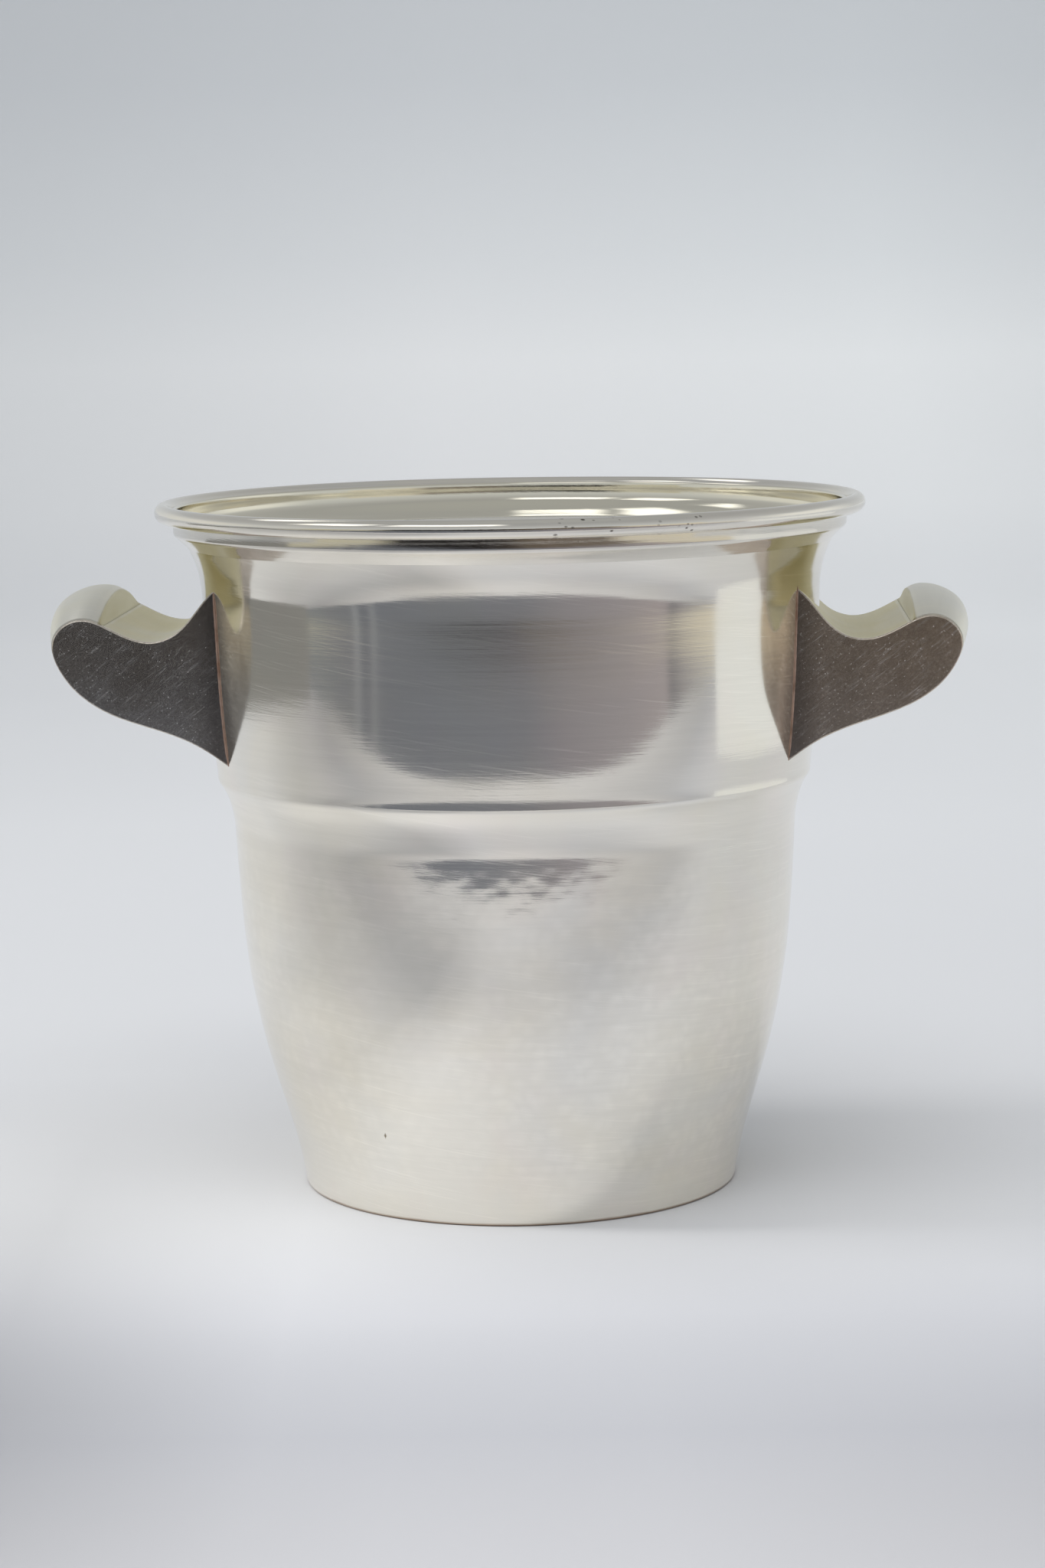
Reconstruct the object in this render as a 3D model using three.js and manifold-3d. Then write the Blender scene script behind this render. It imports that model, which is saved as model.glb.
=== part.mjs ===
// Two-handled champagne bucket in silver-plated sheet metal.
//
// A spun body with a stepped shoulder, a flared neck, an applied rim band and
// a wired (beaded) mouth, an inset base disc, and a pair of hollow lug handles
// made of two flat cheeks, a dished thumb strip, a domed scroll cap and an
// under strip. Nothing on it moves.
//
// Millimetres, +Z up. Origin: centre of the resting face, on the floor.
// +X runs through the handles.

import * as THREE from "three";
import { mergeVertices } from "three/addons/utils/BufferGeometryUtils.js";
import Module from "manifold-3d";

const wasm = await Module();
wasm.setup();

// ---------------------------------------------------------------- dimensions

const SHEET = 1.2;            // wall thickness of body and handle sheet
const GAP = 0.3;              // clearance between soldered pieces
const FACETS = 60;            // facets round the turned pieces

const BEAD_CENTRE_R = 99.1;   // mouth bead, centre line radius
const BEAD_SECTION_R = 2.5;   // mouth bead, section radius
const BEAD_Z = 196.0;         // mouth bead, centre height (top of bead 198.5)

const FOOT_INNER_R = 57.5;    // turned-in resting lip, inner radius
const BASE_R = 61.3;          // inset base disc radius
const BASE_Z = SHEET + GAP;   // underside of the base disc
const BASE_PANEL_R = 47.0;    // raised centre panel of the base disc
const BASE_PANEL_RISE = 2.2;

const HANDLE_WIDTH = 71.0;    // front to back over the cheeks
const CHEEK_LAP = 0.1;        // cheek outline inside the handle outline
const CROWN = 6.8;            // dome of the scroll cap at mid width
const CAP_WALL_RISE = 6.2;    // its end wall out of the trough
const CAP_WALL_FOOT = 0.35;   // path length from the seam to the wall's foot
const CAP_WALL_RUN = 1.0;     // and over the wall

// Outer profile of the body wall, radius and height, foot to neck.
const BODY_OUTER = [
  [62.3, 0], [62.8, 0.5], [63.1, 2], [63.45, 4], [64.2, 8], [65.56, 14],
  [67.84, 22], [70.85, 32], [72.55, 38], [74.05, 44], [76.9, 58], [78.74, 72],
  [79.85, 86], [80.6, 100], [81.1, 107.5], [81.5, 110.3], [82.05, 112.4],
  [82.75, 114.4], [83.7, 116.3], [84.6, 117.7], [85.2, 118.8], [85.4, 119.8],
  [85.55, 122], [86.0, 132], [86.7, 146], [87.45, 158.5], [88.1, 167],
  [88.65, 172.6], [88.95, 175.4], [89.6, 179.3], [90.5, 182.2], [91.4, 184.2],
  [92.5, 186.2],
];

// Inner profile of the body wall, neck to foot.
const BODY_INNER = [
  [91.2, 186.2], [89.8, 183.4], [88.35, 179.2], [87.6, 174.5], [86.25, 158.5],
  [84.35, 122], [84.0, 119.2], [81.55, 114.3], [80.5, 111], [79.4, 100],
  [77.5, 72], [75.65, 58], [72.75, 44], [69.55, 32], [64.25, 14],
  [61.9, SHEET], [FOOT_INNER_R, SHEET], [FOOT_INNER_R, 0],
];

// Rim band: an upright collar, its foot drawn in to carry on the neck's flare.
const BAND = [
  [96.3, 197.2], [96.3, 190.2], [96.0, 189.6], [95.2, 189.0], [94.2, 188.2],
  [93.3, 187.2], [92.75, 186.6], [91.4, 186.6], [92.2, 188.2], [93.0, 189.6],
  [94.2, 190.8], [95.1, 192.0], [95.1, 197.2],
];

// Side outline of a handle, outer surface, in the plane through the axis:
// from inside the body at the neck, down into the thumb trough, up over the
// scroll, round the nose and back to the body underneath.
const HANDLE_OUTLINE = [
  [74.0, 180.0], [77.6, 177.2], [80.9, 174.4], [84.0, 171.4], [87.0, 167.7],
  [90.0, 164.1], [93.9, 161.1], [98.6, 159.7], [102.6, 160.0], [106.5, 161.3],
  [110.5, 163.3], [114.4, 165.3], [117.8, 166.2], [121.2, 165.8],
  [124.4, 164.0], [126.5, 161.1], [127.0, 158.0], [126.3, 155.0],
  [124.5, 151.6], [121.8, 148.0], [118.2, 144.8], [113.6, 141.9],
  [108.6, 139.7], [103.0, 137.7], [98.0, 136.1], [93.0, 134.3],
  [88.3, 132.2], [84.0, 129.7], [80.0, 126.9], [76.0, 123.9], [72.5, 121.2],
];
const CAP_START_X = 112.4;    // seam between thumb strip and scroll cap
const CAP_END_Z = 151.6;      // seam between scroll cap and under strip

// ------------------------------------------------------------------- finish

const silver = (color, roughness) =>
  new THREE.MeshStandardMaterial({ color, roughness, metalness: 1.0 });
const POLISHED = [0xf2e9d8, 0.2];
const BRUSHED = [0xe6dccb, 0.3];
const SATIN = [0xe9e0cc, 0.35];

// ------------------------------------------------------------------ solids

// Bare indexed geometry: position only, shared vertices merged, facing out.
function bare(geometry) {
  const copy = geometry.clone();
  for (const name of Object.keys(copy.attributes)) {
    if (name !== "position") copy.deleteAttribute(name);
  }
  const merged = mergeVertices(copy, 1e-4);
  const p = merged.getAttribute("position");
  const index = [];
  const old = merged.getIndex().array;
  for (let i = 0; i < old.length; i += 3) {
    const [a, b, c] = [old[i], old[i + 1], old[i + 2]];
    if (a !== b && b !== c && c !== a) index.push(a, b, c);
  }
  const va = new THREE.Vector3(), vb = new THREE.Vector3(), vc = new THREE.Vector3();
  let volume = 0;
  for (let i = 0; i < index.length; i += 3) {
    va.fromBufferAttribute(p, index[i]);
    vb.fromBufferAttribute(p, index[i + 1]);
    vc.fromBufferAttribute(p, index[i + 2]);
    volume += va.dot(vb.cross(vc));
  }
  if (volume < 0) {
    for (let i = 0; i < index.length; i += 3) {
      [index[i + 1], index[i + 2]] = [index[i + 2], index[i + 1]];
    }
  }
  merged.setIndex(index);
  merged.computeVertexNormals();
  return merged;
}

function toSolid(geometry) {
  return new wasm.Manifold(new wasm.Mesh({
    numProp: 3,
    vertProperties: new Float32Array(geometry.getAttribute("position").array),
    triVerts: new Uint32Array(geometry.getIndex().array),
  }));
}

function toGeometry(solid) {
  const mesh = solid.getMesh();
  const geometry = new THREE.BufferGeometry();
  geometry.setAttribute("position",
    new THREE.BufferAttribute(new Float32Array(mesh.vertProperties), 3));
  geometry.setIndex([...mesh.triVerts]);
  geometry.computeVertexNormals();
  return geometry;
}

// A turned solid about +Z from a closed loop of [radius, height] points.
function turned(points) {
  const loop = points.map(([r, z]) => new THREE.Vector2(r, z));
  if (points[0][0] > 0) loop.push(loop[0].clone());
  const geometry = new THREE.LatheGeometry(loop, FACETS);
  geometry.rotateX(Math.PI / 2);   // lathe axis from +Y to +Z
  return bare(geometry);
}

// The space the body fills, a little enlarged: what handle pieces stop at.
const bodySpace = toSolid(turned([
  [0, 60],
  ...BODY_OUTER.filter(([, z]) => z > 60).map(([r, z]) => [r + GAP, z]),
  [BODY_OUTER.at(-1)[0] + GAP, 210],
  [0, 210],
]));

// -------------------------------------------------------------- handle path

const outlineCurve = new THREE.SplineCurve(
  HANDLE_OUTLINE.map(([x, z]) => new THREE.Vector2(x, z)));
const PATH_STEPS = 480;
const path = outlineCurve.getSpacedPoints(PATH_STEPS);
const pathLength = outlineCurve.getLength();
const nearest = (test) => path.findIndex(test) / PATH_STEPS;
const capStart = nearest((p) => p.x >= CAP_START_X);
const capEnd = path.findIndex((p, i) =>
  i / PATH_STEPS > capStart + 0.1 && p.y <= CAP_END_Z) / PATH_STEPS;

function outline(u) {
  const point = outlineCurve.getPointAt(u);
  const tangent = outlineCurve.getTangentAt(u);
  // the path runs clockwise seen from the front, so outward is to its left
  return { point, normal: new THREE.Vector2(-tangent.y, tangent.x) };
}

const smooth = (a, b, x) => THREE.MathUtils.smoothstep(x, a, b);

// Height of the cap's dome at mid width, by path length past the seam: an
// upright end wall out of the trough, full over the scroll, low at the nose
// and gone by the seam with the under strip.
function crown(past) {
  const span = (capEnd - capStart) * pathLength;
  const wall = smooth(CAP_WALL_FOOT, CAP_WALL_FOOT + CAP_WALL_RUN, past);
  const top = CAP_WALL_RISE + (CROWN - CAP_WALL_RISE) * smooth(0, 6, past);
  return wall * top * (1 - smooth(12, span, past));
}

// Sheet strip following the outline through the given stations, between the
// cheeks, SHEET thick, its outer surface domed by crown().
function strip(stations, across) {
  const half = HANDLE_WIDTH / 2;
  const reach = half - SHEET - GAP;
  const steps = stations.length - 1;
  const outer = [], inner = [];
  for (const u of stations) {
    const { point, normal } = outline(u);
    const past = (u - capStart) * pathLength;
    // the dome stands upright at its wall and square to the outline beyond it
    const lean = smooth(0, 10, past);
    const up = new THREE.Vector2(0, 1).lerp(normal, lean).normalize();
    for (let j = 0; j <= across; j++) {
      const y = reach * (-1 + 2 * j / across);
      const bulge = 1 - (y / half) ** 2;
      const over = crown(past) * bulge, under = crown(past - SHEET) * bulge;
      outer.push([point.x + up.x * over, y, point.y + up.y * over]);
      inner.push([point.x + up.x * under - normal.x * SHEET, y,
        point.y + up.y * under - normal.y * SHEET]);
    }
  }
  const row = across + 1, count = outer.length;
  const position = [...outer, ...inner].flat();
  const index = [];
  const quad = (a, b, c, d) => index.push(a, b, c, a, c, d);
  for (let i = 0; i < steps; i++) {
    for (let j = 0; j < across; j++) {
      const a = i * row + j, b = a + 1, c = a + row + 1, d = a + row;
      quad(a, b, c, d);
      quad(count + d, count + c, count + b, count + a);
    }
  }
  for (let i = 0; i < steps; i++) {
    const a = i * row, d = a + row;
    quad(a, d, count + d, count + a);
    const b = a + across, c = b + row;
    quad(c, b, count + b, count + c);
  }
  for (let j = 0; j < across; j++) {
    quad(j + 1, j, count + j, count + j + 1);
    const e = steps * row + j;
    quad(e, e + 1, count + e + 1, count + e);
  }
  const geometry = new THREE.BufferGeometry();
  geometry.setAttribute("position", new THREE.Float32BufferAttribute(position, 3));
  geometry.setIndex(index);
  return geometry;
}

// Flat side plate covering the edges of the strips.
function cheek(side) {
  const shape = new THREE.Shape();
  const steps = 60;
  for (let i = 0; i <= steps; i++) {
    const { point, normal } = outline(i / steps);
    const x = point.x - normal.x * CHEEK_LAP;
    const z = point.y - normal.y * CHEEK_LAP;
    if (i === 0) shape.moveTo(x, z); else shape.lineTo(x, z);
  }
  shape.closePath();
  const geometry = new THREE.ExtrudeGeometry(shape,
    { depth: SHEET, bevelEnabled: false, curveSegments: 1 });
  geometry.rotateX(Math.PI / 2);   // shape plane to XZ, depth along -Y
  const face = HANDLE_WIDTH / 2;
  geometry.translate(0, side < 0 ? -face + SHEET : face, 0);
  return geometry;
}

const trimmed = (geometry) => toGeometry(toSolid(bare(geometry)).subtract(bodySpace));

// ------------------------------------------------------------------ assembly

const bucket = new THREE.Group();

function add(parent, name, geometry, [color, roughness]) {
  const mesh = new THREE.Mesh(geometry, silver(color, roughness));
  mesh.name = name;
  parent.add(mesh);
}

add(bucket, "body_shell", turned([...BODY_OUTER, ...BODY_INNER]), POLISHED);

add(bucket, "base_disc", turned([
  [0, BASE_Z + BASE_PANEL_RISE], [BASE_PANEL_R - 3, BASE_Z + BASE_PANEL_RISE],
  [BASE_PANEL_R, BASE_Z], [BASE_R, BASE_Z], [BASE_R, BASE_Z + SHEET],
  [BASE_PANEL_R + 0.5, BASE_Z + SHEET],
  [BASE_PANEL_R - 2.5, BASE_Z + SHEET + BASE_PANEL_RISE],
  [0, BASE_Z + SHEET + BASE_PANEL_RISE],
]), POLISHED);

add(bucket, "rim_band", turned(BAND), POLISHED);

{
  const section = [];
  const sides = 14;
  for (let i = 0; i < sides; i++) {
    const a = 2 * Math.PI * (i + 0.5) / sides;
    section.push([BEAD_CENTRE_R + BEAD_SECTION_R * Math.cos(a),
      BEAD_Z + BEAD_SECTION_R * Math.sin(a)]);
  }
  add(bucket, "rim_bead", turned(section), POLISHED);
}

const seam = GAP / 2 / pathLength;
const evenly = (u0, u1, steps) =>
  Array.from({ length: steps + 1 }, (_, i) => u0 + (u1 - u0) * i / steps);
// close stations up the cap's end wall, even ones over the rest
const capStations = [
  ...[GAP / 2, 0.35, 0.6, 0.85, 1.1, 1.35, 1.6, 1.9, 2.3, 2.8]
    .map((mm) => capStart + mm / pathLength),
  ...evenly(capStart + 3.6 / pathLength, capEnd - seam, 15),
];
for (const [side, turn] of [["right", 0], ["left", Math.PI]]) {
  const handle = new THREE.Group();
  handle.rotation.z = turn;
  bucket.add(handle);
  // on the turned handle the local front is the rear of the bucket
  const front = turn === 0 ? -1 : 1;
  add(handle, `${side}_handle_front_cheek`, trimmed(cheek(front)), BRUSHED);
  add(handle, `${side}_handle_rear_cheek`, trimmed(cheek(-front)), BRUSHED);
  add(handle, `${side}_handle_thumb_strip`,
    trimmed(strip(evenly(0.01, capStart - seam, 18), 4)), SATIN);
  add(handle, `${side}_handle_scroll_cap`,
    toGeometry(toSolid(bare(strip(capStations, 10)))), SATIN);
  add(handle, `${side}_handle_under_strip`,
    trimmed(strip(evenly(capEnd + seam, 0.985, 14), 4)), BRUSHED);
}

export default bucket;
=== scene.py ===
import math

import bmesh
import bpy
import numpy as np
from mathutils import Matrix, Vector


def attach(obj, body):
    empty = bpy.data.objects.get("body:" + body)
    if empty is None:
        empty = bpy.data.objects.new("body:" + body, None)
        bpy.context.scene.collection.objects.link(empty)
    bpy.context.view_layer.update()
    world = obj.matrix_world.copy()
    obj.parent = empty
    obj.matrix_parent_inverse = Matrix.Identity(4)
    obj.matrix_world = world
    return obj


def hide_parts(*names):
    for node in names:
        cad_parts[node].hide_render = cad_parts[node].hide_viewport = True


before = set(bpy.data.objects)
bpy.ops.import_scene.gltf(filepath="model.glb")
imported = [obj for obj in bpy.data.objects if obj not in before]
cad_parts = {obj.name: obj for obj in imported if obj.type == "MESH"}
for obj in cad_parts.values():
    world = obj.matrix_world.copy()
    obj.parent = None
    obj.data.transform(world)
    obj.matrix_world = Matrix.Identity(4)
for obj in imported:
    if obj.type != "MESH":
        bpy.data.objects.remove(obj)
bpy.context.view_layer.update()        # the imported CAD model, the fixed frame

MM = 0.001

# ---------------------------------------------------------------- profiles (mm)
# The same driving numbers as the CAD, drawn here at full smoothness.
SHEET = 1.2
HANDLE_WIDTH = 71.0
CROWN = 6.8
CAP_WALL_RISE = 6.2

BODY_LOW = [  # foot to the crease of the shoulder step
    (62.95, 0.9), (63.1, 2.2), (63.42, 4), (64.2, 8), (65.56, 14), (67.84, 22),
    (70.85, 32), (72.55, 38), (74.05, 44), (75.6, 51), (76.9, 58), (77.95, 65),
    (78.74, 72), (79.38, 79), (79.87, 86), (80.22, 92), (80.60, 99),
    (80.86, 104.2), (80.98, 106.6), (81.28, 108.6), (81.85, 111.2), (82.6, 113.9),
    (83.5, 116.1), (84.4, 117.6), (85.15, 118.7)]
BODY_HIGH = [  # crease to the top of the neck flare
    (85.5, 119.5), (85.52, 120.4), (85.56, 121.4), (85.68, 122.6), (85.92, 124.6),
    (86.47, 129.6), (87.0, 136), (87.46, 143), (87.82, 150), (88.12, 158),
    (88.38, 166), (88.6, 172), (88.82, 175), (89.18, 177.2), (89.75, 179.9),
    (90.5, 182.2), (91.35, 184.2), (92.35, 186.1)]

OUTLINE = [
    (74.0, 180.0), (77.6, 177.2), (80.9, 174.4), (84.0, 171.4), (87.0, 167.7),
    (90.0, 164.1), (93.9, 161.1), (98.6, 159.7), (102.6, 160.0), (106.5, 161.3),
    (110.5, 163.3), (114.4, 165.3), (117.8, 166.2), (121.2, 165.8),
    (124.4, 164.0), (126.5, 161.1), (127.0, 158.0), (126.3, 155.0),
    (124.5, 151.6), (121.8, 148.0), (118.2, 144.8), (113.6, 141.9),
    (108.6, 139.7), (103.0, 137.7), (98.0, 136.1), (93.0, 134.3),
    (88.3, 132.2), (84.0, 129.7), (80.0, 126.9), (76.0, 123.9), (72.5, 121.2)]


def pchip(z, r):
    """Monotone cubic through the points, as a function."""
    z = np.asarray(z, float); r = np.asarray(r, float)
    h = np.diff(z); d = np.diff(r) / h
    m = np.zeros(len(z)); m[0] = d[0]; m[-1] = d[-1]
    for i in range(1, len(z) - 1):
        if d[i - 1] * d[i] > 0:
            w1 = 2 * h[i] + h[i - 1]; w2 = h[i] + 2 * h[i - 1]
            m[i] = (w1 + w2) / (w1 / d[i - 1] + w2 / d[i])

    def f(q):
        q = np.asarray(q, float)
        i = np.clip(np.searchsorted(z, q) - 1, 0, len(z) - 2)
        t = (q - z[i]) / h[i]
        return ((2 * t**3 - 3 * t**2 + 1) * r[i] + (t**3 - 2 * t**2 + t) * h[i] * m[i]
                + (-2 * t**3 + 3 * t**2) * r[i + 1] + (t**3 - t**2) * h[i] * m[i + 1])
    return f


def smoothed(points, step, sigma):
    """Evenly stepped in height, with the small kinks between points ironed out."""
    z = np.array([p[1] for p in points]); r = np.array([p[0] for p in points])
    f = pchip(z, r)
    n = int(round((z[-1] - z[0]) / step))
    zs = np.linspace(z[0], z[-1], n + 1)
    rs = f(zs)
    if sigma > 0:
        pad = int(4 * sigma / step) + 1
        left = 2 * rs[0] - rs[1:pad + 1][::-1]
        right = 2 * rs[-1] - rs[-pad - 1:-1][::-1]
        ext = np.concatenate([left, rs, right])
        k = np.exp(-0.5 * (np.arange(-pad, pad + 1) * step / sigma) ** 2); k /= k.sum()
        rs = np.convolve(ext, k, "valid")
    return zs, rs


LOW_Z, LOW_R = smoothed(BODY_LOW, 0.5, 1.0)
HIGH_Z, HIGH_R = smoothed(BODY_HIGH, 0.5, 0.9)


def body_r(z):
    """Outer radius of the body at a height, mm."""
    z = np.asarray(z, float)
    return np.where(z < 119.1, np.interp(z, LOW_Z, LOW_R), np.interp(z, HIGH_Z, HIGH_R))


# ---------------------------------------------------------------- mesh helpers
def make_mesh(name, verts, faces, along=None, flip=False, smooth=True):
    mesh = bpy.data.meshes.new(name)
    if flip:
        faces = [tuple(reversed(f)) for f in faces]
    mesh.from_pydata([tuple(v) for v in np.asarray(verts) * MM], [], faces)
    mesh.validate()
    if along is not None:
        at = mesh.attributes.new("along", "FLOAT", "POINT")
        at.data.foreach_set("value", np.asarray(along, np.float32) * MM)
    bm = bmesh.new(); bm.from_mesh(mesh)
    bmesh.ops.recalc_face_normals(bm, faces=bm.faces)
    bm.to_mesh(mesh); bm.free()
    mesh.polygons.foreach_set("use_smooth", [smooth] * len(mesh.polygons))
    mesh.update()
    ob = bpy.data.objects.new(name, mesh)
    bpy.context.scene.collection.objects.link(ob)
    return ob


def arc(cx, cz, r, a0, a1, n):
    a = np.radians(np.linspace(a0, a1, n))
    return [(cx + r * math.cos(t), cz + r * math.sin(t)) for t in a]


def turned(name, profile, segs, wobble=None):
    """Closed turned body from a loop of (radius, height); poles where radius is 0."""
    prof = np.array(profile, float)
    keep = [0]
    for i in range(1, len(prof)):
        if np.hypot(*(prof[i] - prof[keep[-1]])) > 1e-4:
            keep.append(i)
    prof = prof[keep]
    pole0, pole1 = prof[0][0] < 1e-6, prof[-1][0] < 1e-6
    seg_len = np.hypot(*np.diff(prof, axis=0).T)
    s = np.concatenate([[0], np.cumsum(seg_len)])
    th = np.linspace(0, 2 * np.pi, segs, endpoint=False)
    rows = []; along = []; index = []
    count = 0
    for i, (r, z) in enumerate(prof):
        if r < 1e-6:
            rows.append([(0, 0, z)]); along.append([s[i]]); index.append((count, 1)); count += 1
            continue
        rr = np.full(segs, r); zz = np.full(segs, z)
        if wobble is not None:
            dr, dz = wobble(th, r, z); rr = rr + dr; zz = zz + dz
        rows.append(np.stack([rr * np.cos(th), rr * np.sin(th), zz], -1))
        along.append(np.full(segs, s[i])); index.append((count, segs)); count += segs
    verts = np.concatenate([np.asarray(q, float) for q in rows])
    al = np.concatenate([np.asarray(q, float) for q in along])
    faces = []
    n = len(prof)
    closed = not (pole0 and pole1)
    for i in range(n if closed else n - 1):
        (a, na), (b, nb) = index[i], index[(i + 1) % n]
        for j in range(segs):
            k = (j + 1) % segs
            if na == 1:
                faces.append((a, b + j, b + k))
            elif nb == 1:
                faces.append((a + j, b, a + k))
            else:
                faces.append((a + j, b + j, b + k, a + k))
    return make_mesh(name, verts, faces, al)


def sharpen(ob, degrees):
    """Keep real corners crisp under smooth shading."""
    bm = bmesh.new(); bm.from_mesh(ob.data)
    lim = math.radians(degrees)
    for e in bm.edges:
        if len(e.link_faces) == 2 and e.calc_face_angle(0.0) > lim:
            e.smooth = False
    bm.to_mesh(ob.data); bm.free()


def polyline_length(p):
    return np.concatenate([[0], np.cumsum(np.hypot(*np.diff(np.asarray(p), axis=0).T))])


def catmull(points, n):
    """Smooth path through 2-D points, n+1 evenly spaced samples, gently faired."""
    p = np.array(points, float)
    ext = np.vstack([2 * p[0] - p[1], p, 2 * p[-1] - p[-2]])
    out = []
    for i in range(1, len(ext) - 2):
        p0, p1, p2, p3 = ext[i - 1], ext[i], ext[i + 1], ext[i + 2]
        t = np.linspace(0, 1, 40, endpoint=False)[:, None]
        out.append(0.5 * (2 * p1 + (p2 - p0) * t + (2 * p0 - 5 * p1 + 4 * p2 - p3) * t**2
                          + (-p0 + 3 * p1 - 3 * p2 + p3) * t**3))
    out = np.vstack(out + [p[-1:]])
    s = polyline_length(out)
    q = np.linspace(0, s[-1], n + 1)
    xy = np.stack([np.interp(q, s, out[:, 0]), np.interp(q, s, out[:, 1])], -1)
    step = q[1]
    sigma = 1.1
    pad = int(4 * sigma / step) + 1
    k = np.exp(-0.5 * (np.arange(-pad, pad + 1) * step / sigma) ** 2); k /= k.sum()
    left = 2 * xy[0] - xy[1:pad + 1][::-1]; right = 2 * xy[-1] - xy[-pad - 1:-1][::-1]
    e = np.vstack([left, xy, right])
    return np.stack([np.convolve(e[:, 0], k, "valid"), np.convolve(e[:, 1], k, "valid")], -1)


# the handle outline as an evenly stepped path
N_PATH = 900
PATH = catmull(OUTLINE, N_PATH)
S_PATH = polyline_length(PATH)
TAN = np.gradient(PATH, axis=0); TAN /= np.hypot(*TAN.T)[:, None]
NRM = np.stack([-TAN[:, 1], TAN[:, 0]], -1)      # outward, left of the path
S_CAP0 = float(S_PATH[np.argmax(PATH[:, 0] >= 112.4)])
S_CAP1 = float(S_PATH[[i for i in range(len(PATH)) if S_PATH[i] > S_CAP0 + 20 and PATH[i, 1] <= 151.6][0]])
S_CAP_MM = S_CAP0


# ---------------------------------------------------------------- materials
def nodes_of(name):
    mat = bpy.data.materials.new(name)
    mat.use_nodes = True
    nt = mat.node_tree
    nt.nodes.clear()
    out = nt.nodes.new("ShaderNodeOutputMaterial")
    bsdf = nt.nodes.new("ShaderNodeBsdfPrincipled")
    nt.links.new(bsdf.outputs["BSDF"], out.inputs["Surface"])
    return mat, nt, bsdf


class Graph:
    """Small helper for wiring procedural nodes."""

    def __init__(self, nt):
        self.nt = nt
        tc = nt.nodes.new("ShaderNodeTexCoord")
        self.obj = tc.outputs["Object"]
        sep = nt.nodes.new("ShaderNodeSeparateXYZ")
        nt.links.new(self.obj, sep.inputs[0])
        self.x, self.y, self.z = sep.outputs

    def link(self, value, socket):
        if isinstance(value, bpy.types.NodeSocket):
            self.nt.links.new(value, socket)
        else:
            socket.default_value = value

    def math(self, op, a, b=0.0, clamp=False):
        n = self.nt.nodes.new("ShaderNodeMath"); n.operation = op; n.use_clamp = clamp
        self.link(a, n.inputs[0]); self.link(b, n.inputs[1])
        return n.outputs[0]

    def attr(self, name):
        n = self.nt.nodes.new("ShaderNodeAttribute"); n.attribute_name = name
        n.attribute_type = "GEOMETRY"
        return n.outputs["Fac"]

    def vec(self, x, y, z):
        n = self.nt.nodes.new("ShaderNodeCombineXYZ")
        for i, v in enumerate((x, y, z)):
            self.link(v, n.inputs[i])
        return n.outputs[0]

    def noise(self, vector, scale=1.0, detail=2.0, rough=0.5, distortion=0.0):
        n = self.nt.nodes.new("ShaderNodeTexNoise")
        self.link(vector, n.inputs["Vector"])
        n.inputs["Scale"].default_value = scale
        n.inputs["Detail"].default_value = detail
        n.inputs["Roughness"].default_value = rough
        n.inputs["Distortion"].default_value = distortion
        return n.outputs["Fac"]

    def voronoi(self, vector, scale, feature="F1", smooth=0.0):
        n = self.nt.nodes.new("ShaderNodeTexVoronoi")
        n.feature = feature
        self.link(vector, n.inputs["Vector"])
        n.inputs["Scale"].default_value = scale
        if feature == "SMOOTH_F1":
            n.inputs["Smoothness"].default_value = smooth
        return n.outputs["Distance"]

    def ramp(self, value, stops):
        n = self.nt.nodes.new("ShaderNodeValToRGB")
        el = n.color_ramp.elements
        while len(el) < len(stops):
            el.new(0.5)
        for e, (pos, col) in zip(el, stops):
            e.position = pos
            e.color = (*col, 1.0) if len(col) == 3 else col
        self.link(value, n.inputs[0])
        return n.outputs["Color"]

    def span(self, value, a, b, c, d, clamp=True):
        n = self.nt.nodes.new("ShaderNodeMapRange"); n.clamp = clamp
        self.link(value, n.inputs[0])
        for i, v in enumerate((a, b, c, d)):
            self.link(v, n.inputs[i + 1])
        return n.outputs[0]

    def mix(self, fac, a, b):
        n = self.nt.nodes.new("ShaderNodeMix"); n.data_type = "RGBA"
        self.link(fac, n.inputs["Factor"])
        for key, v in (("A", a), ("B", b)):
            s = [i for i in n.inputs if i.name == key and i.type == "RGBA"][0]
            self.link((*v, 1.0) if isinstance(v, tuple) and len(v) == 3 else v, s)
        return [o for o in n.outputs if o.type == "RGBA"][0]

    def bump(self, height, distance, normal=None, strength=1.0):
        n = self.nt.nodes.new("ShaderNodeBump")
        n.inputs["Strength"].default_value = strength
        n.inputs["Distance"].default_value = distance
        self.link(height, n.inputs["Height"])
        if normal is not None:
            self.link(normal, n.inputs["Normal"])
        return n.outputs["Normal"]


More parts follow.
